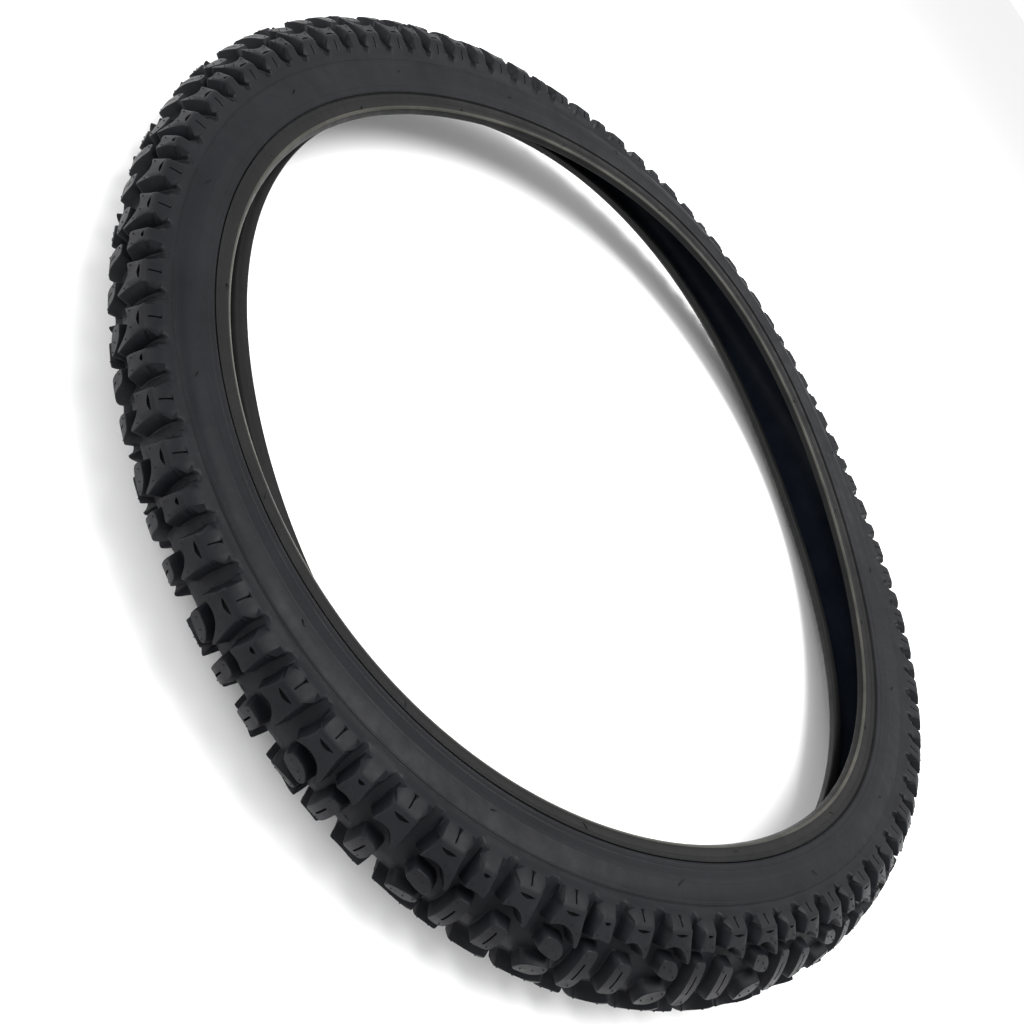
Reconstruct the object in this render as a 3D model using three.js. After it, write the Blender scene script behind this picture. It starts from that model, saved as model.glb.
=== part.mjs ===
// Wired-on mountain-bike tyre, taken off the rim and lying on its side, for a 559 mm bead seat.
// Millimetres. The wheel axis is +Z, the origin is the wheel centre in the tyre's mid-plane.
// Every section is drawn in a half plane through the axis: "across" is the distance from the
// mid-plane (positive to the upper side) and "radius" the distance from the axis. A section angle
// of 0 is the crown, positive down the upper sidewall, negative down the lower one.
import * as THREE from "three";
import { mergeVertices } from "three/addons/utils/BufferGeometryUtils.js";

// Driving dimensions
const SECTION_CENTRE = 306; // radius at which the round part of the section is centred
const CASING_OUTSIDE = 22.8; // section radius of the casing's outer face
const CASING_THICKNESS = 0.9;
const LAYER_GAP = 0.2; // clearance between bonded layers
const TREAD_BASE = 24.5; // section radius of the tread between its knobs
const SIDEWALL_OUTSIDE = 24.0;
const TREAD_EDGE = 76; // section angle where the tread strip ends on the sidewall
const SIDEWALL_ANGLE = 94; // half way down the round part of the sidewall
const BEAD_ANGLE = 112; // section angle where the round section runs out straight to the bead
const CROWN_ANGLES = [-TREAD_EDGE, -50, -25, 0, 25, 50, TREAD_EDGE]; // corners of the section under the tread
const WIRE_ACROSS = 13.6;
const WIRE_RADIUS_AT = 284.2;
const WIRE_SIZE = 1.0; // radius of the bead wire bundle
const WIRE_CLEARANCE = 0.5; // from the wire to the ply turned round it
const SHOULDER_KNOB_HEIGHT = 7.5;
const CENTRE_KNOB_HEIGHT = 6.5;

// Round the wheel, places are counted in hundredths of a tread pitch.
const PITCHES = 30;
const UNITS = 100 * PITCHES;
const PITCH_SEAM = -56; // a place that no knob crosses
const STATION = 50; // step of every ring, shared so that nested facets stay parallel
const LANES = [-19, 18.1]; // between the rows of knobs across the tread, one in each step of a ring
const LANE_EDGES = [PITCH_SEAM, ...LANES, PITCH_SEAM + 100];
const EDGE_STEPS = LANES.map((lane, i) => [PITCH_SEAM + i * STATION, lane, PITCH_SEAM + (i + 1) * STATION]);
const LONGEST_CHORD = 26; // section angle that one straight edge of the tread may span

const degrees = THREE.MathUtils.degToRad;

// The set the tyre has taken off the rim: its crown and beads lie out of round and out of plane, and
// its crown rolls over between the beads. Each is a sum of waves round the wheel, as [count, height,
// direction in degrees]; the heights are millimetres, and degrees of the section for the roll.
const RELAXED_SET = {
  roll: [[0, 13, 0], [2, 12, 157], [3, 12, 79]],
  crown: {
    radial: [[0, 8.4, 0], [2, 10.5, 171], [3, 4.7, 44]],
    lateral: [[0, -3.3, 0], [2, 4.8, 161], [3, 4.8, 23]],
  },
  upperBead: { radial: [[2, 4, 62], [3, 3, 13]], lateral: [[2, 5, 128], [3, 5, 105]] },
  lowerBead: { radial: [[2, 16, 152], [3, 4, 68]], lateral: [[2, 11, 145], [3, 3, 0]] },
};

function wave(terms, turn) {
  const height = ([count, size, at]) => size * Math.cos(count * (turn - degrees(at)));
  return terms.reduce((sum, term) => sum + height(term), 0);
}

// How far a section angle, in radians, is on the way from the crown (0) to the bead (1).
function towardsBead(angle) {
  return THREE.MathUtils.smoothstep(Math.abs(angle), 0, degrees(BEAD_ANGLE));
}

// Moves a point of the perfectly round tyre to where it lies in the relaxed one.
function relax(units, [across, radius]) {
  const turn = ((((units % UNITS) + UNITS) % UNITS) / UNITS) * 2 * Math.PI;
  const start = Math.atan2(across, radius - SECTION_CENTRE);
  const distance = Math.hypot(across, radius - SECTION_CENTRE);
  const angle = start + degrees(wave(RELAXED_SET.roll, turn)) * (1 - towardsBead(start));
  const bead = angle < 0 ? RELAXED_SET.lowerBead : RELAXED_SET.upperBead;
  const mix = (key) => {
    const [crownWave, beadWave] = [wave(RELAXED_SET.crown[key], turn), wave(bead[key], turn)];
    return THREE.MathUtils.lerp(crownWave, beadWave, towardsBead(angle));
  };
  const reach = SECTION_CENTRE + distance * Math.cos(angle) + mix("radial");
  const height = distance * Math.sin(angle) + mix("lateral");
  return new THREE.Vector3(reach * Math.cos(turn), reach * Math.sin(turn), height);
}

// A point of the section at a section angle and a distance from the section's centre.
function onArc(angle, distance) {
  return [distance * Math.sin(degrees(angle)), SECTION_CENTRE + distance * Math.cos(degrees(angle))];
}

// The straight tail of the section, from BEAD_ANGLE to the bead: "along" it, and "out" from the casing.
function onTail(along, out) {
  const [across, radius] = onArc(BEAD_ANGLE, CASING_OUTSIDE + out);
  return [across + along * Math.cos(degrees(BEAD_ANGLE)), radius - along * Math.sin(degrees(BEAD_ANGLE))];
}

function roundWire(angle, distance) {
  const [along, up] = [distance * Math.cos(degrees(angle)), distance * Math.sin(degrees(angle))];
  return [WIRE_ACROSS + along, WIRE_RADIUS_AT + up];
}

// Mirrors a list of section points to the lower side, listed from the lower side up.
function lowerSide(points) {
  return points.map(([across, radius]) => [-across, radius]).reverse();
}

// Collects triangles, then merges their shared corners into one closed surface.
class Surface {
  corners = [];

  face(...points) {
    for (let i = 2; i < points.length; i++) {
      for (const point of [points[0], points[i - 1], points[i]]) this.corners.push(...point.toArray());
    }
  }

  // A band round the wheel between two section points, facing right of the way from one to the other.
  band(from, to, flipped = false) {
    for (let units = PITCH_SEAM; units < UNITS + PITCH_SEAM; units += STATION) {
      const [a, b] = [relax(units, from), relax(units, to)];
      const [d, c] = [relax(units + STATION, from), relax(units + STATION, to)];
      const halves = flipped ? [[a, b, d], [b, c, d]] : [[a, d, b], [b, d, c]];
      for (const half of halves) this.face(...half);
    }
  }

  skin(points, flipped) {
    for (let i = 1; i < points.length; i++) this.band(points[i - 1], points[i], flipped);
  }

  geometry() {
    const soup = new THREE.BufferGeometry();
    soup.setAttribute("position", new THREE.Float32BufferAttribute(this.corners, 3));
    return mergeVertices(soup, 1e-4);
  }
}

// A closed ring between a front skin and a back skin, both listed from the lower side to the upper.
function ring(front, back) {
  const surface = new Surface();
  surface.skin(front);
  surface.skin(back, true);
  surface.band(front.at(-1), back.at(-1));
  surface.band(back[0], front[0]);
  return surface.geometry();
}

// Tread knobs of one pitch, each as the corners of its top and of its root, in
// [hundredths of a pitch, section angle]. A shoulder knob's root runs out down the
// sidewall as a buttress, and its inner edge is a hollow arc with one high corner.
const SHOULDER_KNOBS = [
  {
    top: [[-13.5, 31], [3, 31], [14.5, 18], [7.5, 45], [-7, 45]],
    root: [[-16.5, 28], [3, 28], [17.5, 15], [11.5, 66], [-10.5, 66]],
  },
  {
    top: [[-50, 31], [-38, 31], [-27, 21], [-29, 45], [-45.5, 45]],
    root: [[-53, 28], [-38, 28], [-24, 18], [-25.5, 64], [-49.5, 64]],
  },
  {
    top: [[21.5, 29], [38.5, 28], [33.5, 44.5], [26.5, 44.5]],
    root: [[18.7, 25], [41, 24.5], [37.5, 61], [22.5, 61]],
  },
];
const INNER_KNOB = {
  top: [[-10, 9], [10, 3], [6.5, 20], [-8.5, 21]],
  root: [[-12.5, 6.5], [12, 0.8], [8, 22.5], [-10.5, 24]],
};
const CENTRE_BARS = [
  {
    top: [[24.5, -19], [35.5, -19], [35.5, 0], [35.5, 19], [24.5, 19], [24.5, 0]],
    root: [[21.5, -21.5], [38.5, -21.5], [38.5, 0], [38.5, 21.5], [21.5, 21.5], [21.5, 0]],
  },
  {
    top: [[-45.5, -15], [-31.5, -13], [-31.5, 0], [-31.5, 13], [-45.5, 15], [-45.5, 0]],
    root: [[-48, -18.5], [-29.5, -15], [-29.5, 0], [-29.5, 15], [-48, 18.5], [-48, 0]],
  },
];

// All the knobs of a pitch: those of one half are mirrored across the crown to the other.
function knobsOfPitch() {
  const ofHeight = (height, knobs) => knobs.map((knob) => ({ ...knob, height }));
  const halfKnobs = [
    ...ofHeight(SHOULDER_KNOB_HEIGHT, SHOULDER_KNOBS),
    ...ofHeight(CENTRE_KNOB_HEIGHT, [INNER_KNOB]),
  ];
  const mirror = (outline) => outline.map(([units, angle]) => [units, -angle]).reverse();
  const lowerKnobs = halfKnobs.map((knob) => ({ ...knob, top: mirror(knob.top), root: mirror(knob.root) }));
  return [...halfKnobs, ...lowerKnobs, ...ofHeight(CENTRE_KNOB_HEIGHT, CENTRE_BARS)];
}

// A lane of the tread base, from edge to edge of the tread. Its long sides have a corner at every
// crown angle, and its ends have one wherever a ring's step falls inside the lane.
function laneOutline(start, end) {
  const steps = [PITCH_SEAM + STATION].filter((units) => units > start && units < end);
  const along = (angle) => [start, ...steps, end].map((units) => [units, angle]);
  const sides = CROWN_ANGLES.slice(1, -1);
  return [
    ...along(-TREAD_EDGE),
    ...sides.map((angle) => [end, angle]),
    ...along(TREAD_EDGE).reverse(),
    ...sides.map((angle) => [start, -angle]),
  ];
}

function triangulate(outline, holes = []) {
  const flat = (corners) => corners.map((corner) => new THREE.Vector2(...corner));
  const corners = [...outline, ...holes.flat()];
  const faces = THREE.ShapeUtils.triangulateShape(flat(outline), holes.map(flat));
  return faces.map((face) => face.map((i) => corners[i]));
}

// Halves a face's widest edge until none spans more of the section than LONGEST_CHORD.
function followSection(face) {
  const spans = face.map((corner, i) => Math.abs(corner[1] - face[(i + 1) % 3][1]));
  const widest = spans.indexOf(Math.max(...spans));
  if (spans[widest] <= LONGEST_CHORD) return [face];
  const [a, b, c] = [0, 1, 2].map((i) => face[(widest + i) % 3]);
  const middle = a.map((value, i) => (value + b[i]) / 2);
  return [...followSection([a, middle, c]), ...followSection([middle, b, c])];
}

// Every face of one pitch, each corner in [hundredths of a pitch, section angle, height].
function pitchFaces() {
  const knobs = knobsOfPitch();
  const at = (height) => ([units, angle]) => [units, angle, height];
  const faces = [];
  for (let lane = 1; lane < LANE_EDGES.length; lane++) {
    const [start, end] = [LANE_EDGES[lane - 1], LANE_EDGES[lane]];
    const roots = knobs.map(({ root }) => root).filter(([[units]]) => units > start && units < end);
    faces.push(...triangulate(laneOutline(start, end), roots).map((face) => face.map(at(0))));
  }
  for (const { top, root, height } of knobs) {
    const [high, low] = [top.map(at(height)), root.map(at(0))];
    faces.push(...triangulate(top).map((face) => face.map(at(height))));
    high.forEach((corner, i) => {
      const next = (i + 1) % high.length;
      faces.push([low[i], low[next], high[next]], [low[i], high[next], corner]);
    });
  }
  return faces.flatMap(followSection);
}

function tread() {
  const surface = new Surface();
  const faces = pitchFaces();
  const inside = CROWN_ANGLES.map((angle) => onArc(angle, CASING_OUTSIDE + LAYER_GAP));
  const [lowerEdge, upperEdge] = [-TREAD_EDGE, TREAD_EDGE].map((angle) => onArc(angle, TREAD_BASE));
  for (let start = 0; start < UNITS; start += 100) {
    const lifted = ([units, angle, height]) => relax(start + units, onArc(angle, TREAD_BASE + height));
    for (const face of faces) surface.face(...face.map(lifted));
    const along = (point, places) => places.map((units) => relax(start + units, point));
    for (const steps of EDGE_STEPS) {
      const [ends, back] = [[steps[0], steps.at(-1)], steps.toReversed()];
      const [upperFrom, upperTo] = along(inside.at(-1), ends);
      const [lowerFrom, lowerTo] = along(inside[0], ends);
      surface.face(upperFrom, ...along(upperEdge, steps), upperTo);
      surface.face(lowerTo, ...along(lowerEdge, back), lowerFrom);
    }
  }
  surface.skin(inside, true);
  return surface.geometry();
}

// The casing ply: across the crown, down each side, under the bead wire and turned up outside it.
function casing() {
  const angles = [-BEAD_ANGLE, -SIDEWALL_ANGLE, ...CROWN_ANGLES, SIDEWALL_ANGLE, BEAD_ANGLE];
  const skin = (thickness) => {
    const hook = [150, 240, 330].map((angle) => roundWire(angle, WIRE_SIZE + WIRE_CLEARANCE + thickness));
    const side = [...hook, turnUp(LAYER_GAP + thickness)];
    return [...lowerSide(side), ...angles.map((angle) => onArc(angle, CASING_OUTSIDE - thickness)), ...side];
  };
  return ring(skin(0), skin(CASING_THICKNESS));
}

// The end of the turned-up edge, a clearance outside the straight part of the main ply.
function turnUp(clearance) {
  const top = new THREE.Vector2(...onArc(BEAD_ANGLE, CASING_OUTSIDE));
  const foot = new THREE.Vector2(...roundWire(150, WIRE_SIZE + WIRE_CLEARANCE));
  const out = top.clone().sub(foot).normalize().rotateAround(new THREE.Vector2(), -Math.PI / 2);
  return foot.lerp(top, 0.7).addScaledVector(out, clearance).toArray();
}

// Sidewall rubber from the tread's edge to the groove above the chafer.
function sidewall() {
  const start = TREAD_EDGE + 1;
  const inside = CASING_OUTSIDE + LAYER_GAP;
  return {
    front: [
      onArc(start, SIDEWALL_OUTSIDE),
      onArc(SIDEWALL_ANGLE, SIDEWALL_OUTSIDE),
      onArc(BEAD_ANGLE, SIDEWALL_OUTSIDE + 0.4),
      onTail(7.6, 2.2),
    ],
    back: [
      onArc(start, inside),
      onArc(SIDEWALL_ANGLE, inside),
      onArc(BEAD_ANGLE, inside + 0.2),
      onTail(7.6, 1.2),
    ],
  };
}

// The chafer: a rubbered strip wrapped round the bead, outside the casing.
function chafer() {
  const hook = WIRE_SIZE + WIRE_CLEARANCE + CASING_THICKNESS + LAYER_GAP + 0.1;
  return {
    front: [onTail(5.4, -3.4), ...[150, 240, 330].map((angle) => roundWire(angle, hook)), onTail(8, 1.2)],
    back: [onTail(5.8, -4.2), [9.9, 284.6], [10.4, 279.2], [16.6, 281.4], onTail(8, 2.3)],
  };
}

function beadWire() {
  const place = (angle) => roundWire(angle, WIRE_SIZE);
  return { front: [150, 90, 30].map(place), back: [-150, -90, -30].map(place) };
}

function sideRing({ front, back }, side) {
  return side > 0 ? ring(front, back) : ring(lowerSide(front), lowerSide(back));
}

const treadRubber = new THREE.MeshStandardMaterial({ color: 0x2b2d31, roughness: 0.62, metalness: 0 });
const sidewallRubber = new THREE.MeshStandardMaterial({ color: 0x2e3034, roughness: 0.55, metalness: 0 });
const chaferRubber = new THREE.MeshStandardMaterial({ color: 0x43433e, roughness: 0.6, metalness: 0 });
const rubberedFabric = new THREE.MeshStandardMaterial({ color: 0x171b22, roughness: 0.7, metalness: 0 });
const beadSteel = new THREE.MeshStandardMaterial({ color: 0x9a8f78, roughness: 0.4, metalness: 1 });

const tyre = new THREE.Group();

function addPiece(name, geometry, material) {
  const mesh = new THREE.Mesh(geometry, material);
  mesh.name = name;
  tyre.add(mesh);
}

addPiece("tread", tread(), treadRubber);
addPiece("casing_ply", casing(), rubberedFabric);
for (const [name, side] of [["upper", 1], ["lower", -1]]) {
  addPiece(`sidewall_${name}`, sideRing(sidewall(), side), sidewallRubber);
  addPiece(`chafer_${name}`, sideRing(chafer(), side), chaferRubber);
  addPiece(`bead_wire_${name}`, sideRing(beadWire(), side), beadSteel);
}

export default tyre;
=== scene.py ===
import math

import bpy
import numpy as np
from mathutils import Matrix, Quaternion, Vector
from mathutils.geometry import delaunay_2d_cdt


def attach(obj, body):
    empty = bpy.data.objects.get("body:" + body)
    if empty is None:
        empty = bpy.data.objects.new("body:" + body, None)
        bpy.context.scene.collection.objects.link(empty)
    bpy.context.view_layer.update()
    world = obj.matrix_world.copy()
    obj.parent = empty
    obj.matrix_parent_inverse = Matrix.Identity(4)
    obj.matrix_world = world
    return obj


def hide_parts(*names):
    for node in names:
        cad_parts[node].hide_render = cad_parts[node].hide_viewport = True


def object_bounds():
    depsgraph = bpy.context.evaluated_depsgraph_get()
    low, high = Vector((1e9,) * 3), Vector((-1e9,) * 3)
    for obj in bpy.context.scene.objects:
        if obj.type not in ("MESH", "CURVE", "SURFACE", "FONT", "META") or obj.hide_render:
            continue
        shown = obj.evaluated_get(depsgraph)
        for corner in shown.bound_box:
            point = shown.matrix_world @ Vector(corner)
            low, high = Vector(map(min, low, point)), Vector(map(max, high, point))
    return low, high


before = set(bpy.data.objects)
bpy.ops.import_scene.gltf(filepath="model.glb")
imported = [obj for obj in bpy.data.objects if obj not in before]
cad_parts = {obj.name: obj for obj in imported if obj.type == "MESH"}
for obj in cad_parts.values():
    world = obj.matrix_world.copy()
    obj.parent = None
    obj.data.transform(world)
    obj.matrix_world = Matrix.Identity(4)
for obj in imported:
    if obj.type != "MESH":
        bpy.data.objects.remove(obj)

CAD_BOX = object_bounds()

# A knobbly mountain-bike tyre off its rim, lying on its side. Sections are drawn in millimetres in a
# half plane through the wheel axis: "across" from the mid-plane, "radius" from the axis. A section
# angle is 0 at the crown and grows down the upper sidewall. Round the wheel, places are counted in
# hundredths of a tread pitch.
MM = 0.001
SECTION_CENTRE = 306
CASING_OUTSIDE = 22.8
CASING_THICKNESS = 0.9
TREAD_INSIDE = 23.0
TREAD_BASE = 24.5
SIDEWALL_OUTSIDE = 24.0
TREAD_EDGE = 76
BEAD_ANGLE = 112
WIRE = (13.6, 284.2)
WIRE_TO_PLY = 1.5
PITCHES = 30
UNITS = 100 * PITCHES
PITCH_SEAM = -56
SHOULDER_HEIGHT = 7.5
CENTRE_HEIGHT = 6.5

# The relaxed set of the tyre off its rim, as in the CAD: each wave is (how many times a turn, its height,
# the direction of its top in degrees). The roll is in degrees of section angle, the others in millimetres.
RELAXED_SET = {
    "roll": [(0, 13, 0), (2, 12, 157), (3, 12, 79)],
    "crown": {"radial": [(0, 8.4, 0), (2, 10.5, 171), (3, 4.7, 44)],
              "lateral": [(0, -3.3, 0), (2, 4.8, 161), (3, 4.8, 23)]},
    "upper_bead": {"radial": [(2, 4, 62), (3, 3, 13)], "lateral": [(2, 5, 128), (3, 5, 105)]},
    "lower_bead": {"radial": [(2, 16, 152), (3, 4, 68)], "lateral": [(2, 11, 145), (3, 3, 0)]},
}


def wave(terms, turn):
    return sum(height * np.cos(count * (turn - math.radians(at))) for count, height, at in terms)


def smoothstep(value, low, high):
    t = np.clip((value - low) / (high - low), 0, 1)
    return t * t * (3 - 2 * t)


def towards_bead(angle):
    """How far a section angle, in radians, is on the way from the crown (0) to the bead (1)."""
    return smoothstep(np.abs(angle), 0, math.radians(BEAD_ANGLE))


def relax(units, across, radius):
    """Where points of the perfectly round tyre lie in the relaxed one, in metres."""
    units, across, radius = np.broadcast_arrays(*(np.asarray(v, float) for v in (units, across, radius)))
    turn = np.mod(units, UNITS) / UNITS * 2 * math.pi
    angle, distance = np.arctan2(across, radius - SECTION_CENTRE), np.hypot(across, radius - SECTION_CENTRE)
    angle = angle + np.radians(wave(RELAXED_SET["roll"], turn)) * (1 - towards_bead(angle))

    def mix(key):
        crown = wave(RELAXED_SET["crown"][key], turn)
        upper = wave(RELAXED_SET["upper_bead"][key], turn)
        lower = wave(RELAXED_SET["lower_bead"][key], turn)
        return crown + (np.where(angle < 0, lower, upper) - crown) * towards_bead(angle)

    reach = SECTION_CENTRE + distance * np.cos(angle) + mix("radial")
    height = distance * np.sin(angle) + mix("lateral")
    return np.stack([reach * np.cos(turn), reach * np.sin(turn), height], -1) * MM


def on_arc(angle, distance):
    """A section point by its angle in degrees and its distance from the section's centre."""
    angle = np.radians(angle)
    return distance * np.sin(angle), SECTION_CENTRE + distance * np.cos(angle)


def on_tail(along, out):
    """The straight stretch from the round section to the bead, like the CAD's."""
    across, radius = on_arc(BEAD_ANGLE, CASING_OUTSIDE + out)
    lean = math.radians(BEAD_ANGLE)
    return across + along * math.cos(lean), radius - along * math.sin(lean)


def round_wire(angle, distance):
    """A section point by its direction and distance from the bead wire."""
    angle = math.radians(angle)
    return WIRE[0] + distance * math.cos(angle), WIRE[1] + distance * math.sin(angle)


# ---------------------------------------------------------------- materials


RUBBER_SPECULAR = 0.11
DUST_COLOUR = (0.022, 0.0215, 0.020, 1)
CLOUD_SCALE, SHEEN_SCALE, SOFT_SCALE, DUST_SCALE, GRAIN_SCALE = 30, 85, 120, 520, 1900
SHEEN_SPREAD = 0.09


def rubber(name, dark, light, roughness, grain=0.12):
    """Moulded rubber: cloudy colour, a fine grain, faint dust and an uneven sheen."""
    material = bpy.data.materials.new(name)
    material.use_nodes = True
    nodes, links = material.node_tree.nodes, material.node_tree.links
    shader = nodes["Principled BSDF"]
    shader.inputs["Specular IOR Level"].default_value = RUBBER_SPECULAR
    where = nodes.new("ShaderNodeTexCoord").outputs["Object"]

    def noise(scale, detail, rough=0.6):
        node = nodes.new("ShaderNodeTexNoise")
        node.inputs["Scale"].default_value = scale
        node.inputs["Detail"].default_value = detail
        node.inputs["Roughness"].default_value = rough
        links.new(where, node.inputs["Vector"])
        return node.outputs["Fac"]

    clouds = nodes.new("ShaderNodeValToRGB")
    clouds.color_ramp.elements[0].position, clouds.color_ramp.elements[1].position = 0.35, 0.68
    clouds.color_ramp.elements[0].color = (*dark, 1)
    clouds.color_ramp.elements[1].color = (*light, 1)
    links.new(noise(CLOUD_SCALE, 6), clouds.inputs["Fac"])

    dust = nodes.new("ShaderNodeValToRGB")
    dust.color_ramp.elements[0].position, dust.color_ramp.elements[1].position = 0.66, 0.80
    dust.color_ramp.elements[1].color = (0.30, 0.30, 0.30, 1)
    links.new(noise(DUST_SCALE, 4, 0.7), dust.inputs["Fac"])
    dusty = nodes.new("ShaderNodeMix")
    dusty.data_type = "RGBA"
    dusty.inputs["B"].default_value = DUST_COLOUR
    links.new(dust.outputs["Color"], dusty.inputs["Factor"])
    links.new(clouds.outputs["Color"], dusty.inputs["A"])
    links.new(dusty.outputs["Result"], shader.inputs["Base Color"])

    sheen = nodes.new("ShaderNodeMapRange")
    sheen.inputs["From Min"].default_value, sheen.inputs["From Max"].default_value = 0.3, 0.7
    sheen.inputs["To Min"].default_value = roughness - SHEEN_SPREAD
    sheen.inputs["To Max"].default_value = roughness + SHEEN_SPREAD
    links.new(noise(SHEEN_SCALE, 5), sheen.inputs["Value"])
    links.new(sheen.outputs["Result"], shader.inputs["Roughness"])

    bump = nodes.new("ShaderNodeBump")
    bump.inputs["Strength"].default_value = grain
    bump.inputs["Distance"].default_value = 0.0003
    links.new(noise(GRAIN_SCALE, 3), bump.inputs["Height"])
    soft = nodes.new("ShaderNodeBump")
    soft.inputs["Strength"].default_value = 0.10
    soft.inputs["Distance"].default_value = 0.002
    links.new(noise(SOFT_SCALE, 2), soft.inputs["Height"])
    links.new(soft.outputs["Normal"], bump.inputs["Normal"])
    links.new(bump.outputs["Normal"], shader.inputs["Normal"])
    return material


TREAD_RUBBER = rubber("tread_rubber", (0.0042, 0.0046, 0.0064), (0.0072, 0.0077, 0.0102), 0.52)
# Knob tops take a lighter, glossier copy of the tread rubber: painted light on the faces that meet the
# lamps.
KNOB_TOP_PAINTED_LIGHT = rubber("knob_top_painted_light_rubber", (0.0064, 0.0067, 0.0086), (0.0115, 0.0119, 0.0142), 0.42, 0.25)
# The lens, slit and sipe hollows take a darker, duller rubber: painted shade in the recesses.
SLOT_PAINTED_SHADE = rubber("slot_painted_shade_rubber", (0.0025, 0.0027, 0.0035), (0.004, 0.0043, 0.005), 0.8)
SIDEWALL_RUBBER = rubber("sidewall_rubber", (0.0044, 0.0047, 0.0064), (0.0072, 0.0076, 0.0096), 0.46, 0.10)
CHAFER_RUBBER = rubber("chafer_rubber", (0.0056, 0.0057, 0.0060), (0.0088, 0.0088, 0.0086), 0.48, 0.2)
# A paler rubber for the bead's toe: a painted highlight along its edge.
BEAD_EDGE_PAINTED_HIGHLIGHT = rubber("bead_edge_painted_highlight_rubber", (0.030, 0.030, 0.026), (0.060, 0.058, 0.050), 0.42, 0.2)
INNER_RUBBER = rubber("inner_rubber", (0.0062, 0.0086, 0.0150), (0.0105, 0.0140, 0.0220), 0.50, 0.1)
HAIR_RUBBER = rubber("vent_hair_rubber", (0.003, 0.003, 0.004), (0.006, 0.006, 0.007), 0.5)


def steel(name, dark, light):
    """Bronze-coated bead wire: drawn metal with a fine lay and dull patches."""
    material = bpy.data.materials.new(name)
    material.use_nodes = True
    nodes, links = material.node_tree.nodes, material.node_tree.links
    shader = nodes["Principled BSDF"]
    shader.inputs["Metallic"].default_value = 1
    grain = nodes.new("ShaderNodeTexNoise")
    grain.inputs["Scale"].default_value = 900
    links.new(nodes.new("ShaderNodeTexCoord").outputs["Object"], grain.inputs["Vector"])
    colour = nodes.new("ShaderNodeValToRGB")
    colour.color_ramp.elements[0].color, colour.color_ramp.elements[1].color = (*dark, 1), (*light, 1)
    links.new(grain.outputs["Fac"], colour.inputs["Fac"])
    links.new(colour.outputs["Color"], shader.inputs["Base Color"])
    dull = nodes.new("ShaderNodeMapRange")
    dull.inputs["To Min"].default_value, dull.inputs["To Max"].default_value = 0.3, 0.55
    links.new(grain.outputs["Fac"], dull.inputs["Value"])
    links.new(dull.outputs["Result"], shader.inputs["Roughness"])
    bump = nodes.new("ShaderNodeBump")
    bump.inputs["Strength"].default_value = 0.2
    bump.inputs["Distance"].default_value = 0.0001
    links.new(grain.outputs["Fac"], bump.inputs["Height"])
    links.new(bump.outputs["Normal"], shader.inputs["Normal"])
    return material


BEAD_STEEL = steel("bead_steel", (0.20, 0.15, 0.09), (0.42, 0.35, 0.24))


# ---------------------------------------------------------------- meshes


def add_mesh(name, vertices, faces, materials, faces_material=None, sharp=38, replaces=()):
    """A mesh on the tyre's body, smooth except along edges sharper than so many degrees.

    It takes the materials it is given, each face the one its index picks."""
    mesh = bpy.data.meshes.new(name)
    mesh.from_pydata([tuple(v) for v in vertices], [], [tuple(map(int, f)) for f in faces])
    for material in materials:
        mesh.materials.append(material)
    if faces_material is not None:
        mesh.polygons.foreach_set("material_index", np.asarray(faces_material, np.int32))
    mesh.validate()
    mesh.shade_smooth()
    mesh.set_sharp_from_angle(angle=math.radians(sharp))
    piece = bpy.data.objects.new(name, mesh)
    bpy.context.scene.collection.objects.link(piece)
    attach(piece, "root")
    if replaces:
        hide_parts(*replaces)


RING_STATIONS = 420


def ring(name, skins, material, replaces, edge=None, highlight_span=()):
    """A closed ring between a front and a back skin, both listed the same way round the section.

    The faces of the back skin in the given span, counted from its first, take the edge material; on the
    chafers that is a painted highlight along the bead's toe."""
    front, back = skins
    stations = RING_STATIONS
    section = np.array(list(front) + list(back))
    count = len(section)
    units = np.repeat(np.arange(stations) * UNITS / stations, count)
    vertices = relax(units, np.tile(section[:, 0], stations), np.tile(section[:, 1], stations))
    # The strips of faces round the ring: between which two section points, and if they face the front.
    pairs = [(i, i + 1, True) for i in range(len(front) - 1)]
    pairs += [(i, i + 1, False) for i in range(len(front), count - 1)]
    pairs += [(len(front) - 1, count - 1, True), (len(front), 0, True)]
    here = np.arange(stations) * count
    then = np.roll(here, -1)
    faces, faces_material = [], []
    for start, end, outward in pairs:
        quad = np.stack([here + start, then + start, then + end, here + end], 1)
        faces.append(quad if outward else quad[:, ::-1])
        on_highlight = not outward and start - len(front) in highlight_span
        faces_material.append(np.full(stations, int(on_highlight)))
    materials = [material, edge] if edge else [material]
    add_mesh(name, vertices, np.concatenate(faces), materials, np.concatenate(faces_material),
             replaces=replaces)


def lower_side(points):
    """A skin of the upper side, mirrored to the lower and turned round to keep its faces outward."""
    return [(-across, radius) for across, radius in reversed(points)]


# ---------------------------------------------------------------- tread pattern

PLAN_RADIUS = 330
UNIT_MM = 2 * math.pi * PLAN_RADIUS / UNITS
ANGLE_MM = math.radians(TREAD_BASE)
PLAN = np.array([UNIT_MM, ANGLE_MM])

# Each knob's corners in (hundredths of a pitch, section angle): the outline of its top, and of its
# root. A shoulder knob's root runs out down the sidewall as a wide buttress, so that the gap to the next
# knob ends in a point there, and the inner edge of a large or medium one is hollow.
LARGE = {
    "height": SHOULDER_HEIGHT, "corner": 1.6,
    "top": [(-13.5, 31), (-7.5, 33.6), (-1, 34), (5, 31.5), (10, 26), (13.8, 18.5), (15.2, 20.5),
            (12.6, 32), (10.6, 39), (9.5, 47.5), (-9, 47.5), (-10, 41), (-11.8, 36)],
    "root": [(-16, 28.5), (-8, 31), (-1.5, 31.3), (4, 29), (8.5, 23.5), (13.2, 15.5), (17.3, 18.5),
             (15.4, 35), (14.2, 50), (15.6, 68), (-15.2, 68), (-13.4, 54), (-14, 42)],
    "lens": (0, 6.4), "slit": 0.6, "pips": [(-9.5, 35.5), (10, 30.5), (3.5, 36)],
}
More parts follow.
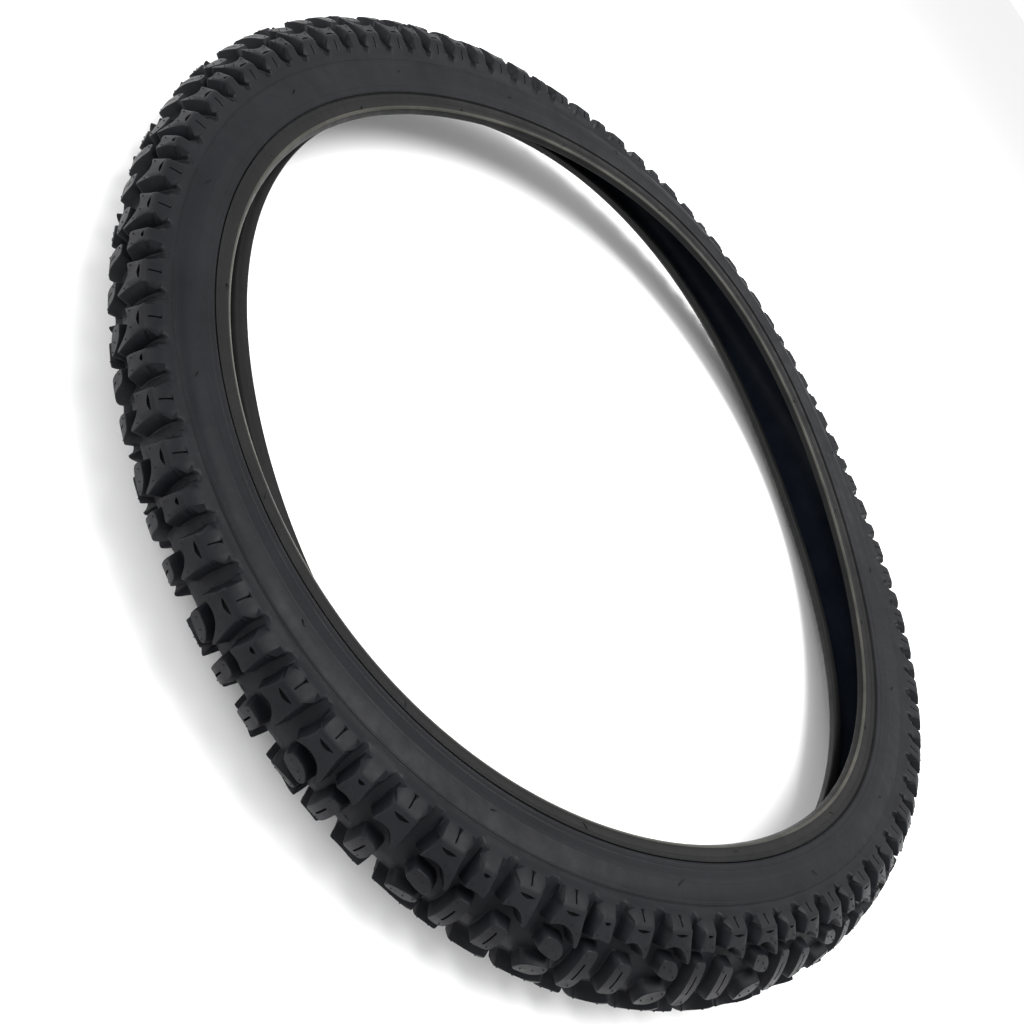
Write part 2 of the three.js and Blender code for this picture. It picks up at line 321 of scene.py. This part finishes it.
MEDIUM = {
    "height": SHOULDER_HEIGHT, "corner": 1.6,
    "top": [(-50, 31), (-44, 33.3), (-38, 33), (-33, 29), (-28.8, 21), (-27, 22.5), (-27.8, 33),
            (-28.4, 39.5), (-28.6, 47.5), (-46.2, 47.5), (-47, 41), (-48.5, 36)],
    "root": [(-52.5, 28.5), (-44.5, 30.5), (-38.5, 30.2), (-34.5, 26.5), (-30.2, 18.6), (-24.2, 20.5),
             (-24.2, 35), (-23.6, 53), (-21.6, 68), (-50.6, 68), (-51.4, 55), (-51, 43)],
    "lens": (-37.6, 6.6), "slit": -37.4, "pips": [(-46.5, 35), (-29.8, 30)],
}
SMALL = {
    "height": SHOULDER_HEIGHT, "corner": 1.6,
    "top": [(22, 29.5), (30, 30.8), (38, 28.5), (36.6, 37), (35, 47), (25.5, 47), (23.6, 37)],
    "root": [(19.7, 26.3), (30, 27.6), (40.5, 25.3), (40.2, 45), (42.6, 66), (20.2, 66), (20, 45)],
    "lens": (30, 3.0), "slit": None, "pips": [(25.5, 34), (34.5, 34)],
}
INNER = {
    "height": CENTRE_HEIGHT, "corner": 2.6,
    "top": [(-9.5, 9.5), (0, 5.2), (9.3, 3.4), (10.5, 10.5), (4.5, 19), (-8.5, 21)],
    "root": [(-12, 7), (0, 2.6), (11.3, 1.1), (13, 10.5), (6, 21), (-10.5, 24)],
    "lens": None, "slit": None, "pips": [(-5, 15), (2.5, 12), (7.5, 7)],
}
BARS = [
    {
        "height": CENTRE_HEIGHT, "corner": 2.6,
        "top": [(24.5, -19), (35.5, -19), (35.8, 0), (35.5, 19), (24.5, 19), (24.2, 0)],
        "root": [(21.8, -21.5), (38.2, -21.5), (38.5, 0), (38.2, 21.5), (21.8, 21.5), (21.5, 0)],
        "sipe": 30, "pips": [(27.5, 15), (32.5, -15)],
    },
    {
        "height": CENTRE_HEIGHT, "corner": 2.6,
        "top": [(-45.5, -14.5), (-32, -12.5), (-31.7, 0), (-32, 12.5), (-45.5, 14.5), (-45.8, 0)],
        "root": [(-48, -18), (-29.8, -14.8), (-29.5, 0), (-29.8, 14.8), (-48, 18), (-48.3, 0)],
        "sipe": -38.8, "pips": [(-42.5, 10), (-35, -9)],
    },
]
BUTTRESS_END = 68
KNOB_END = 47.5
BASE_COLUMNS, BASE_ROWS = 29, 37
TREAD_MATERIALS = [TREAD_RUBBER, KNOB_TOP_PAINTED_LIGHT, SLOT_PAINTED_SHADE, SIDEWALL_RUBBER]
# A knob's wall: how far from root (0) to top (1) in plan, and how high, each as a share.
WALL = [(-0.22, 0.0), (0.0, 0.06), (0.18, 0.32), (0.8, 0.9), (0.93, 0.97), (1.04, 1.0)]
SLIT_DEPTH, LENS_DEPTH, SIPE_DEPTH = 1.1, 1.3, 2.6
PIP_HEIGHT, PIP_FOOT, PIP_TIP = 0.35, 0.42, 0.26
SHOULDER_RISE, SHOULDER_START = 1.3, 48
MOULD_LINE = 0.3


def rounded(top, root, radius=0.8, steps=3, edge=2.0):
    """Both outlines with rounded corners and matching points, in plan millimetres."""
    smooth = []
    for outline in (top, root):
        corners = np.array(outline) * PLAN
        points = []
        for i, corner in enumerate(corners):
            before, after = corners[i - 1] - corner, corners[(i + 1) % len(corners)] - corner
            start = corner + before * min(radius / np.linalg.norm(before), 0.45)
            end = corner + after * min(radius / np.linalg.norm(after), 0.45)
            for t in np.linspace(0, 1, steps + 1):
                points.append((1 - t) ** 2 * start + 2 * t * (1 - t) * corner + t * t * end)
        smooth.append(np.array(points))
    matched = [[], []]
    for i in range(len(smooth[0])):
        sides = [outline[(i + 1) % len(outline)] - outline[i] for outline in smooth]
        parts = max(1, math.ceil(max(np.linalg.norm(side) for side in sides) / edge))
        for k in range(parts):
            for made, outline, side in zip(matched, smooth, sides):
                made.append(outline[i] + side * k / parts)
    return np.array(matched[0]), np.array(matched[1])


class PitchPlan:
    """The tread of one pitch as outlines in plan, each point with its height."""

    def __init__(self):
        self.points, self.heights, self.edges = [], [], []
        self.roots, self.tops, self.slots = [], [], []

    def loop(self, outline, heights):
        """Adds a closed outline that the triangles must follow."""
        first = len(self.points)
        self.points.extend(map(tuple, outline))
        self.heights.extend(np.broadcast_to(heights, len(outline)))
        count = len(outline)
        self.edges.extend((first + i, first + (i + 1) % count) for i in range(count))

    def recess(self, corners, depth, height_at, shrink=0.7):
        """A moulded hollow with sloping walls, its rim lying on the surface round it."""
        outline, _ = rounded(corners, corners, 0.5, 2, 1.5)
        level = height_at(outline)
        floor = outline.mean(0) + (outline - outline.mean(0)) * [shrink, 0.92]
        self.loop(outline, level)
        self.loop(floor, level - depth)
        self.slots.append(outline)

    def pip(self, centre, height):
        """A stub of rubber left by a vent of the mould."""
        turn = np.linspace(0, 2 * math.pi, 7)[:-1]
        circle = np.stack([np.cos(turn), np.sin(turn)], 1)
        self.loop(np.array(centre) * PLAN + circle * PIP_FOOT, height)
        self.loop(np.array(centre) * PLAN + circle * PIP_TIP, height + PIP_HEIGHT)

    def knob(self, shape, side):
        """A knob of the upper side (1) or mirrored to the lower (-1), with its hollows and stubs."""

        def turned(corners):
            corners = [(units, side * angle) for units, angle in corners]
            return corners if side > 0 else corners[::-1]

        tall = shape["height"]
        top, root = rounded(turned(shape["top"]), turned(shape["root"]), shape["corner"])
        for inward, rise in WALL:
            outline = root + (top - root) * inward
            self.loop(outline, tall * rise + base_height(outline) * (1 - rise))
        self.roots.append(root + (top - root) * WALL[0][0])
        self.tops.append(root + (top - root) * WALL[-2][0])
        for units, angle in shape["pips"]:
            self.pip((units, side * angle), tall)
        if shape.get("lens"):
            middle, half = shape["lens"]
            lens = [(-1, 45.3), (-0.55, 43.4), (0, 42.5), (0.55, 43.4), (1, 45.3), (0, 45.8)]
            self.recess(turned([(middle + half * u, a) for u, a in lens]), LENS_DEPTH, lambda p: tall)
        if shape.get("slit") is not None:
            middle = shape["slit"]
            slit = [(middle - 0.8, 52.2), (middle + 0.5, 52.2), (middle + 0.8, 63.4),
                    (middle - 0.5, 63.4)]
            self.recess(turned(slit), SLIT_DEPTH, buttress_height, 0.6)
        if shape.get("sipe") is not None:
            middle = shape["sipe"]
            sipe = [(middle - 0.7, -8), (middle + 0.7, -8), (middle + 0.7, 8), (middle - 0.7, 8)]
            self.recess(sipe, SIPE_DEPTH, lambda p: tall, 0.6)


def buttress_height(points):
    """Height of a large or medium buttress between its second and third wall outlines."""
    (low_in, low), (high_in, high) = WALL[2], WALL[3]
    angle = np.abs(points[:, 1]) / ANGLE_MM
    start, end = (BUTTRESS_END - (BUTTRESS_END - KNOB_END) * inward for inward in (low_in, high_in))
    return SHOULDER_HEIGHT * (low + (high - low) * (start - angle) / (start - end))


def inside(points, outline):
    """Which points lie inside a closed outline."""
    x, y = points[:, 0], points[:, 1]
    within = np.zeros(len(points), bool)
    for (x0, y0), (x1, y1) in zip(outline, np.roll(outline, -1, 0)):
        crosses = (y0 > y) != (y1 > y)
        if y1 != y0:
            within ^= crosses & (x < (x1 - x0) * (y - y0) / (y1 - y0) + x0)
    return within


def base_height(points):
    """The base has a mould line at the crown, and rises past the knobs to run out flush on the sidewall."""
    angle = np.abs(points[:, 1]) / ANGLE_MM
    shoulder = SHOULDER_RISE * smoothstep(angle, SHOULDER_START, BUTTRESS_END)
    down = SHOULDER_RISE + TREAD_BASE - SIDEWALL_OUTSIDE
    run_out = down * smoothstep(angle, BUTTRESS_END, TREAD_EDGE - 0.5)
    return shoulder - run_out + MOULD_LINE * (angle < 0.1)


def pitch_plan():
    plan = PitchPlan()
    for side in (1, -1):
        for shape in (LARGE, MEDIUM, SMALL, INNER):
            plan.knob(shape, side)
    for shape in BARS:
        plan.knob(shape, 1)
    return plan


def add_base(plan):
    """Adds the pitch's border and a staggered grid of points between the knobs, and returns its columns."""
    left, right = PITCH_SEAM * UNIT_MM, (PITCH_SEAM + 100) * UNIT_MM
    bottom, top = -TREAD_EDGE * ANGLE_MM, TREAD_EDGE * ANGLE_MM
    beside_mould_line = 0.3 * ANGLE_MM
    columns, rows = np.linspace(left, right, BASE_COLUMNS), np.linspace(bottom, top, BASE_ROWS)
    rows = np.sort(np.concatenate([rows, [-beside_mould_line, beside_mould_line]]))
    border = [(x, bottom) for x in columns] + [(right, y) for y in rows[1:-1]]
    border += [(x, top) for x in columns[::-1]] + [(left, y) for y in rows[-2:0:-1]]
    border = np.array(border)
    plan.loop(border, base_height(border))
    grid = np.array([(x + j % 2, y) for j, y in enumerate(rows[1:-1]) for x in columns[1:-1]])
    clear = grid[:, 0] < right - 0.8
    for outline in plan.roots:
        centre = outline.mean(0)
        away = outline - centre
        wider = centre + away * (1 + 0.9 / np.linalg.norm(away, axis=1, keepdims=True))
        clear &= ~inside(grid, wider)
    fill = grid[clear]
    plan.points.extend(map(tuple, fill))
    plan.heights.extend(base_height(fill))
    return columns / UNIT_MM


def tread_material(plan, centres):
    """Which of TREAD_MATERIALS each face takes, by its centre in plan."""
    material = np.zeros(len(centres), int)
    # Knob tops take the lighter rubber, which paints light on them.
    for outline in plan.tops:
        material[inside(centres, outline)] = 1
    material[np.abs(centres[:, 1]) > KNOB_END * ANGLE_MM] = 3
    # The hollows take the darker rubber, painted shade.
    for outline in plan.slots:
        material[inside(centres, outline)] = 2
    return material


def pitch_mesh():
    """One pitch: points as (units, angle, height), triangles, each one's material, and the columns."""
    plan = pitch_plan()
    columns = add_base(plan)
    made = delaunay_2d_cdt([Vector(p) for p in plan.points], plan.edges, [], 0, 1e-5)
    flat, faces, origins = np.array([tuple(v) for v in made[0]]), np.array(made[2]), made[3]
    heights = np.array([plan.heights[o[0]] if o else np.nan for o in origins])
    faces = faces[~np.isnan(heights[faces]).any(1)]
    material = tread_material(plan, flat[faces].mean(1))
    edges = flat[faces[:, 1]] - flat[faces[:, 0]], flat[faces[:, 2]] - flat[faces[:, 0]]
    area = edges[0][:, 0] * edges[1][:, 1] - edges[0][:, 1] * edges[1][:, 0]
    faces[area < 0] = faces[area < 0][:, ::-1]
    return np.column_stack([flat / PLAN, heights]), faces, material, columns


def tread():
    """The outer surface, pitch by pitch, closed by a plain inner skin and its two edges."""
    points, faces, material, columns = pitch_mesh()
    inner_angles = np.linspace(-TREAD_EDGE, TREAD_EDGE, 13)
    inner_units, inner_angle = np.meshgrid(columns, inner_angles, indexing="ij")
    rows = len(inner_angles)
    grid = np.arange(len(columns) * rows).reshape(len(columns), rows) + len(points)
    skin = np.stack([grid[:-1, :-1], grid[:-1, 1:], grid[1:, 1:], grid[1:, :-1]], -1).reshape(-1, 4)
    rim = {side: edge_points(points, side) for side in (-1, 1)}
    vertices, all_faces, faces_material = [], [], []
    count = len(points) + grid.size
    for pitch in range(PITCHES):
        outer = relax(points[:, 0] + 100 * pitch, *on_arc(points[:, 1], TREAD_BASE + points[:, 2]))
        inner = relax(inner_units.ravel() + 100 * pitch, *on_arc(inner_angle.ravel(), TREAD_INSIDE))
        vertices += [outer, inner]
        start = pitch * count
        all_faces += [tuple(f) for f in faces + start]
        all_faces += [tuple(f) for f in skin + start]
        for side, column in ((-1, 0), (1, rows - 1)):
            edge, under = rim[side] + start, grid[:, column] + start
            for i in range(len(edge) - 1):
                quad = (edge[i], edge[i + 1], under[i + 1], under[i])
                all_faces.append(quad if side > 0 else quad[::-1])
        plain = np.zeros(len(skin) + 2 * (len(columns) - 1), int)
        faces_material.append(np.concatenate([material, plain]))
    welded, faces = weld(np.concatenate(vertices), all_faces)
    add_mesh("tread_moulding", welded, faces, TREAD_MATERIALS,
             np.concatenate(faces_material), 32, ("tread",))


def edge_points(points, side):
    """The tread's edge corners on one side, in order round the wheel."""
    found = np.flatnonzero(np.abs(points[:, 1] - side * TREAD_EDGE) < 1e-3)
    return found[np.argsort(points[found, 0])]


def weld(vertices, faces):
    """Joins the pitches where their corners meet."""
    micrometres = np.round(vertices * 1e6).astype(np.int64)
    _, first, same = np.unique(micrometres, axis=0, return_index=True, return_inverse=True)
    same = same.reshape(-1)
    return vertices[first], [tuple(same[list(face)]) for face in faces]


tread()


# ---------------------------------------------------------------- sidewalls, chafers, casing


def ridge(value, at, half_width, height):
    """A small rounded ridge (or groove, with a negative height) in a profile."""
    return height * np.exp(-(((value - at) / half_width) ** 2))


def sidewall_profile():
    """The sidewall's two skins, with its moulded lines, from the tread's edge to the bead."""
    front, back = [], []
    for angle in np.linspace(TREAD_EDGE + 0.2, BEAD_ANGLE, 60):
        lines = ridge(angle, 78.6, 0.5, 0.16) + ridge(angle, 80.6, 0.5, 0.12)
        lines += ridge(angle, 104, 0.8, 0.10)
        front.append(on_arc(angle, SIDEWALL_OUTSIDE + lines + 0.4 * smoothstep(angle, 94, BEAD_ANGLE)))
        back.append(on_arc(angle, CASING_OUTSIDE + 0.2 + 0.2 * smoothstep(angle, 94, BEAD_ANGLE)))
    for along in np.linspace(0.4, 7.6, 24):
        lines = ridge(along, 3.2, 0.25, 0.16) + ridge(along, 6.2, 0.3, 0.2)
        lines -= ridge(along, 7.6, 0.35, 0.35)
        front.append(on_tail(along, 1.6 + 0.6 * along / 7.6 + lines))
        back.append(on_tail(along, 0.4 + 0.8 * along / 7.6))
    return front, back


def spline(corners, steps):
    """A smooth open curve through section points."""
    corners = [np.array(c, float) for c in corners]
    corners = [2 * corners[0] - corners[1], *corners, 2 * corners[-1] - corners[-2]]
    curve = []
    for a, b, c, d in zip(corners, corners[1:], corners[2:], corners[3:]):
        for t in np.arange(steps) / steps:
            bend, twist = 2 * a - 5 * b + 4 * c - d, 3 * b - a - 3 * c + d
            curve.append(0.5 * (2 * b + (c - a) * t + bend * t**2 + twist * t**3))
    return [tuple(p) for p in curve] + [tuple(corners[-2])]


def chafer_profile():
    """The strip round the bead: under it the ply's turn-up, outside it the bead's seat, toe and heel."""
    hook = WIRE_TO_PLY + CASING_THICKNESS + 0.3
    turn_up = [round_wire(angle, hook) for angle in (150, 195, 240, 285, 330)]
    front = [on_tail(5.4, -3.4), *turn_up, on_tail(8, 1.2)]
    back = [on_tail(5.8, -4.2), (10.6, 287.6), (9.9, 284.6), (9.7, 281.8), (10.3, 279.3), (12.6, 279.3),
            (15.4, 280.2), (16.9, 282.4), (17.4, 284.8), (17.6, 286.3), (18.1, 286.9), (18.2, 288.2),
            (18.9, 288.9), on_tail(8, 2.3)]
    return spline(front, 4), spline(back, 5)


def casing_profile():
    """The ply from bead to bead, turned up round each wire."""

    def skin(thickness):
        main = [on_arc(a, CASING_OUTSIDE - thickness) for a in np.linspace(0, BEAD_ANGLE, 38)]
        hook = [round_wire(a, WIRE_TO_PLY + thickness) for a in range(150, 331, 12)]
        foot, top = np.array(round_wire(150, WIRE_TO_PLY)), np.array(on_arc(BEAD_ANGLE, CASING_OUTSIDE))
        along = (top - foot) / np.linalg.norm(top - foot)
        end = foot + (top - foot) * 0.7 + np.array([along[1], -along[0]]) * (0.2 + thickness)
        side = [*hook, tuple(end)]
        return [*lower_side(side), *lower_side(main[1:]), *main, *side]

    return skin(0), skin(CASING_THICKNESS)


# The strips of the chafer painted pale along the bead's toe: a painted highlight on its edge.
TOE_HIGHLIGHT_STRIPS = range(29, 33)

ring("casing_lining", casing_profile(), INNER_RUBBER, ("casing_ply",))
for side_name in ("upper", "lower"):
    sidewall, chafer, toe = sidewall_profile(), chafer_profile(), TOE_HIGHLIGHT_STRIPS
    if side_name == "lower":
        last = len(chafer[1]) - 2
        toe = range(last - TOE_HIGHLIGHT_STRIPS[-1], last + 1 - TOE_HIGHLIGHT_STRIPS[0])
        sidewall, chafer = ([lower_side(skin) for skin in skins] for skins in (sidewall, chafer))
    ring(f"sidewall_{side_name}_skin", sidewall, SIDEWALL_RUBBER,
         (f"sidewall_{side_name}",))
    # The chafer's toe strips take the paler rubber, a painted highlight.
    ring(f"chafer_{side_name}_skin", chafer, CHAFER_RUBBER,
         (f"chafer_{side_name}",), BEAD_EDGE_PAINTED_HIGHLIGHT, toe)
    for wire_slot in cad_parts[f"bead_wire_{side_name}"].material_slots:
        wire_slot.material = BEAD_STEEL


HAIR_SPACING = 22.5
HAIR_THICKNESS = 0.42
HAIR_STEPS, HAIR_SIDES = 6, 6
# Each row: the first hair's direction in degrees, its root in the section, and how high it arches.
HAIR_ROWS = [(222.5, *on_arc(98, SIDEWALL_OUTSIDE), 0.9), (233.5, 17.0, 283.2, 0.6)]


def vent_hairs(name, side):
    """Rubber hairs left by the mould's vents, in one row down the sidewall and one along the bead."""
    spread = np.random.default_rng(11 + side)
    vertices, faces = [], []
    for first, across, radius, lift in HAIR_ROWS:
        for turn in first + np.arange(0, 360, HAIR_SPACING):
            lean, length = spread.uniform(-0.9, 0.9), spread.uniform(3.2, 5.6)
            for step, share in enumerate(np.linspace(0, 1, HAIR_STEPS + 1)):
                start = len(vertices)
                thick = HAIR_THICKNESS * (1 - 0.6 * share)
                rise = lift * math.sin(share * 2.2)
                for k in range(HAIR_SIDES):
                    around = k * 2 * math.pi / HAIR_SIDES
                    along = share * length * math.cos(lean) + thick * math.sin(around)
                    place = radius - share * length * math.sin(lean) + thick * math.cos(around) * 0.7
                    out = across + rise + thick * math.cos(around)
                    vertices.append(relax(turn / 360 * UNITS + along / UNIT_MM, side * out, place))
                if step:
                    for k in range(HAIR_SIDES):
                        after, back = (k + 1) % HAIR_SIDES, start - HAIR_SIDES
                        faces.append((back + k, back + after, start + after, start + k)[::side])
            faces.append(tuple(range(start, start + HAIR_SIDES))[::side])
    add_mesh(name, vertices, faces, [HAIR_RUBBER])


vent_hairs("vent_hairs_upper", 1)
vent_hairs("vent_hairs_lower", -1)


# ---------------------------------------------------------------- stage, light and camera


def paint(name, colour, roughness):
    material = bpy.data.materials.new(name)
    material.use_nodes = True
    shader = material.node_tree.nodes["Principled BSDF"]
    shader.inputs["Base Color"].default_value = (*colour, 1)
    shader.inputs["Roughness"].default_value = roughness
    return material


def floor():
    level = CAD_BOX[0].z - 0.0005
    size = 12
    mesh = bpy.data.meshes.new("floor")
    corners = [(-size, -size, level), (size, -size, level), (size, size, level), (-size, size, level)]
    mesh.from_pydata(corners, [], [(0, 1, 2, 3)])
    mesh.materials.append(paint("pale_floor", (0.9, 0.9, 0.9), 0.9))
    piece = bpy.data.objects.new("floor", mesh)
    bpy.context.scene.collection.objects.link(piece)


def softbox(name, place, size, power):
    """A round lamp with a soft edge to its shadows, aimed at the middle of the tyre."""
    light = bpy.data.lights.new(name, "AREA")
    light.shape = "DISK"
    light.size = size
    light.energy = power
    lamp = bpy.data.objects.new(name, light)
    lamp.location = place
    lamp.rotation_mode = "QUATERNION"
    lamp.rotation_quaternion = (-Vector(place)).to_track_quat("-Z", "Y")
    bpy.context.scene.collection.objects.link(lamp)


WORLD_STRENGTH = 1.0
CAMERA_AT = Vector((-0.005, -0.516, 0.333))
CAMERA_AIM = Vector((0.0006, -0.1314, 0.0))
CAMERA_ROLL = 56.3
CAMERA_LENS = 30.1


def camera():
    data = bpy.data.cameras.new("camera")
    data.lens = CAMERA_LENS
    data.sensor_width = 36
    data.clip_start = 0.01
    piece = bpy.data.objects.new("camera", data)
    piece.location = CAMERA_AT
    piece.rotation_mode = "QUATERNION"
    level = (CAMERA_AIM - CAMERA_AT).to_track_quat("-Z", "Y")
    piece.rotation_quaternion = level @ Quaternion((0, 0, 1), math.radians(CAMERA_ROLL))
    bpy.context.scene.collection.objects.link(piece)
    bpy.context.scene.camera = piece


floor()
softbox("overhead", (0.25, 0.5, 1.9), 1.6, 54)
softbox("left_fill", (-1.5, -0.9, 1.1), 1.2, 17)
world = bpy.data.worlds.new("studio")
world.use_nodes = True
world.node_tree.nodes["Background"].inputs["Color"].default_value = (1, 1, 1, 1)
world.node_tree.nodes["Background"].inputs["Strength"].default_value = WORLD_STRENGTH
bpy.context.scene.world = world
bpy.context.scene.view_settings.view_transform = "Standard"
camera()
